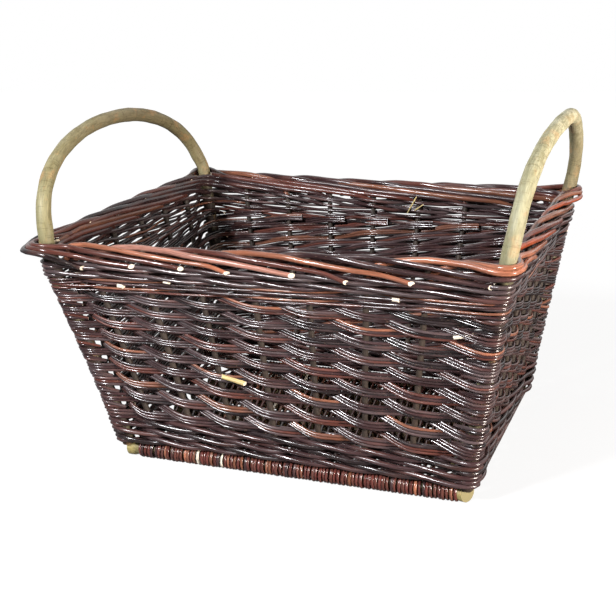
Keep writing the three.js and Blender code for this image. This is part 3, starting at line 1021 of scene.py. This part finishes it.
def make_rand():
    """Fine rows, in front of two posts and behind the next, one post on from the row below."""
    rods = RodMesh(seed=700)
    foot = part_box("rand_row_1")[0].z - RAND_FOOT_DROP
    pitch = (BORDER_FOOT_Z - UPPER_WALE_DROP - foot) / RAND_ROWS
    radius = pitch * RAND_FULLNESS
    for row in range(RAND_ROWS):
        z = foot + (row + 0.5) * pitch
        starts = RAND_ROW_STEP * row + np.array((0, COUNT // 2, COUNT))
        for first, last in zip(starts[:-1], starts[1:]):
            stations = []
            for way in range(first, last + 2):
                face = -1 if (way + row) % RAND_CYCLE == 0 else 1
                shift = rods.random.normal(0, RAND_SHIFT)
                stations.append((way, face * clearance(way, radius), z + shift))
            ways, line = woven_line(stations, per_post=7)
            radii = np.linspace(*RAND_TAPER, len(line)) * radius * back_fill(ways)
            rods.add(line, radii, rods.pick(RAND_BARKS), slants=RAND_SLANTS)
    rods.piece("rand_rods", WALL_WILLOW, ["rand_row_1"])


# Border


def shifted(stations, jitter):
    """Stations moved outward and upward, each by its own pair of shifts."""
    return [(way, offset + j[0], z + j[1]) for (way, offset, z), j in zip(stations, jitter)]


def border_stations(first_post, jitter):
    """Way of the border rod that rises at a post, crosses over the rim and ends outside, below it."""
    legs = [n for n in BORDER_AT_LEG if is_leg(first_post + n)]
    begin = LEG_BERTH if is_leg(first_post) else 0.0
    stations = []
    for step, offset, height in BORDER_ROUTE:
        if step < begin or any(abs(step - n) < LEG_BERTH for n in legs):
            continue
        stations.append((first_post + step, offset, BORDER_FOOT_Z + height))
    if begin:
        stations.insert(0, (first_post + begin - LEG_START, 0.0, BORDER_FOOT_Z))
    for n in legs:
        share, height = BORDER_AT_LEG[n]
        loop, lift = CORNER_LOOPS[(first_post + n) % COUNT]
        offset = clearance(first_post + n, BORDER_RADIUS) + share * loop
        stations.append((first_post + n, offset, BORDER_FOOT_Z + height + share * lift))
    stations.sort()
    way, offset, z = stations[-1]
    sideways, upward = np.abs(jitter[-1])
    stations[-1] = (way - min(END_SHORTENING * sideways, LEG_BERTH), offset, z - END_DROP * upward)
    return shifted(stations, jitter)


def inner_stations(first_post, jitter):
    """Way of the second rod that rises at a post and runs along the inside of the border."""
    legs = [n for n in range(4) if is_leg(first_post + n)]
    stations = []
    for step, offset, height in INNER_ROUTE:
        if not any(abs(step - n) < LEG_BERTH for n in legs):
            stations.append((first_post + step, offset, BORDER_FOOT_Z + height))
    steps, _, heights = np.array(INNER_ROUTE).T
    for n in legs:
        offset = INNER_LEG_SHARE * clearance(first_post + n, INNER_RADIUS)
        stations.append((first_post + n, offset, BORDER_FOOT_Z + np.interp(n, steps, heights)))
    stations.sort()
    return shifted(stations, jitter)


def make_border():
    rods = RodMesh(seed=800, sides=10)
    for first_post in range(COUNT):
        jitter = rods.random.normal(0, ROD_SHIFT, (len(INNER_ROUTE) + SPARE_STATIONS, 2))
        _, line = woven_line(inner_stations(first_post, jitter), per_post=10)
        radius = INNER_RADIUS * rods.random.uniform(*INNER_GIRTHS)
        rods.add(line, radius, rods.pick(INNER_BARKS), slants=INNER_SLANTS)
        jitter = rods.random.normal(0, BORDER_SHIFT, (len(BORDER_ROUTE) + SPARE_STATIONS, 2))
        _, line = woven_line(border_stations(first_post, jitter), per_post=14)
        radii = np.linspace(BORDER_RADIUS, BORDER_TIP_RADIUS, len(line)) * rods.random.uniform(*ROD_GIRTHS)
        rods.add(line, radii, rods.pick(BORDER_BARKS[POSTS[first_post].wall]), slants=BORDER_SLANTS)
    rods.piece("border_rods", BORDER_WILLOW, nodes_named("border_"))


# Stage


def make_floor():
    bpy.ops.mesh.primitive_plane_add(size=FLOOR_SIZE, location=(0.0, 0.0, 0.0))
    floor = bpy.context.object
    floor.name = "floor"
    shader = Shader("pale_floor")
    matt = {"Roughness": FLOOR_ROUGHNESS, "Specular IOR Level": FLOOR_GLOSS}
    shader.fill(shader.surface, {"Base Color": grey(FLOOR_GREY), **matt})
    place = shader.node("ShaderNodeNewGeometry", {}).outputs["Position"]
    away = shader.node("ShaderNodeVectorMath", {0: place}, operation="LENGTH").outputs["Value"]
    strength = shader.remap(away, *FLOOR_GLOW_REACH, *FLOOR_GLOW)
    glow = shader.node("ShaderNodeEmission", {"Color": grey(1.0), "Strength": strength})
    path = shader.node("ShaderNodeLightPath", {})
    share = shader.remap(path.outputs["Is Camera Ray"], 0.0, 1.0, 0.0, FLOOR_GLOW_SHARE)
    mixed = shader.node("ShaderNodeMixShader", {0: share, 1: shader.surface.outputs[0], 2: glow.outputs[0]})
    shader.fill(shader.nodes["Material Output"], {"Surface": mixed.outputs[0]})
    floor.data.materials.append(shader.material)


def make_world():
    """White to the camera and, where the backdrop stands behind the basket, in reflections; dim elsewhere."""
    world = bpy.data.worlds.new("studio")
    world.use_nodes = True
    tree = NodeTree(world.node_tree)
    light = tree.nodes["Background"]
    tree.fill(light, {"Color": grey(1.0), "Strength": WORLD_LIGHT})
    seen = tree.node("ShaderNodeBackground", {"Color": grey(1.0), "Strength": 1.0})
    path = tree.node("ShaderNodeLightPath", {})
    bounced = tree.calculate("MAXIMUM", path.outputs["Is Glossy Ray"], path.outputs["Is Transmission Ray"])
    direction = tree.node("ShaderNodeTexCoord", {}).outputs["Generated"]
    backward = tree.node("ShaderNodeSeparateXYZ", {0: direction}).outputs["Y"]
    backdrop = tree.remap(backward, -BACKDROP_EDGE, BACKDROP_EDGE, 0.0, 1.0)
    mirrored = tree.calculate("MULTIPLY", bounced, backdrop)
    shown = tree.calculate("MAXIMUM", path.outputs["Is Camera Ray"], mirrored)
    mixed = tree.node("ShaderNodeMixShader", {0: shown, 1: light.outputs[0], 2: seen.outputs[0]})
    tree.fill(tree.nodes["World Output"], {"Surface": mixed.outputs[0]})
    bpy.context.scene.world = world


def make_lamps():
    for name, place, power, size, color in LAMPS:
        lamp = bpy.data.lights.new(name, "AREA")
        lamp.color = color
        lamp.energy = power
        lamp.size = size
        made = bpy.data.objects.new(name, lamp)
        made.location = place
        made.rotation_euler = (Vector(LAMP_TARGET) - Vector(place)).to_track_quat("-Z", "Y").to_euler()
        bpy.context.scene.collection.objects.link(made)


def make_camera():
    camera = bpy.data.cameras.new("camera")
    camera.sensor_width = SENSOR_WIDTH
    camera.lens = CAMERA_LENS
    made = bpy.data.objects.new("camera", camera)
    level = math.cos(CAMERA_PITCH)
    forward = Vector((-math.sin(CAMERA_YAW) * level, math.cos(CAMERA_YAW) * level, -math.sin(CAMERA_PITCH)))
    right = Vector((math.cos(CAMERA_YAW), math.sin(CAMERA_YAW), 0.0))
    down = forward.cross(right)
    turned_right = right * math.cos(CAMERA_ROLL) + down * math.sin(CAMERA_ROLL)
    turned_down = down * math.cos(CAMERA_ROLL) - right * math.sin(CAMERA_ROLL)
    axes = Matrix((turned_right, -turned_down, -forward)).transposed()
    made.matrix_world = Matrix.Translation(CAMERA_PLACE) @ axes.to_4x4()
    bpy.context.scene.collection.objects.link(made)
    bpy.context.scene.camera = made


make_camera()
make_floor()
make_world()
make_lamps()
bpy.context.scene.view_settings.view_transform = "Standard"

make_handles()
make_stakes()
make_base_sticks()
make_base_weave()
make_slew()
make_wales()
make_rand()
make_border()
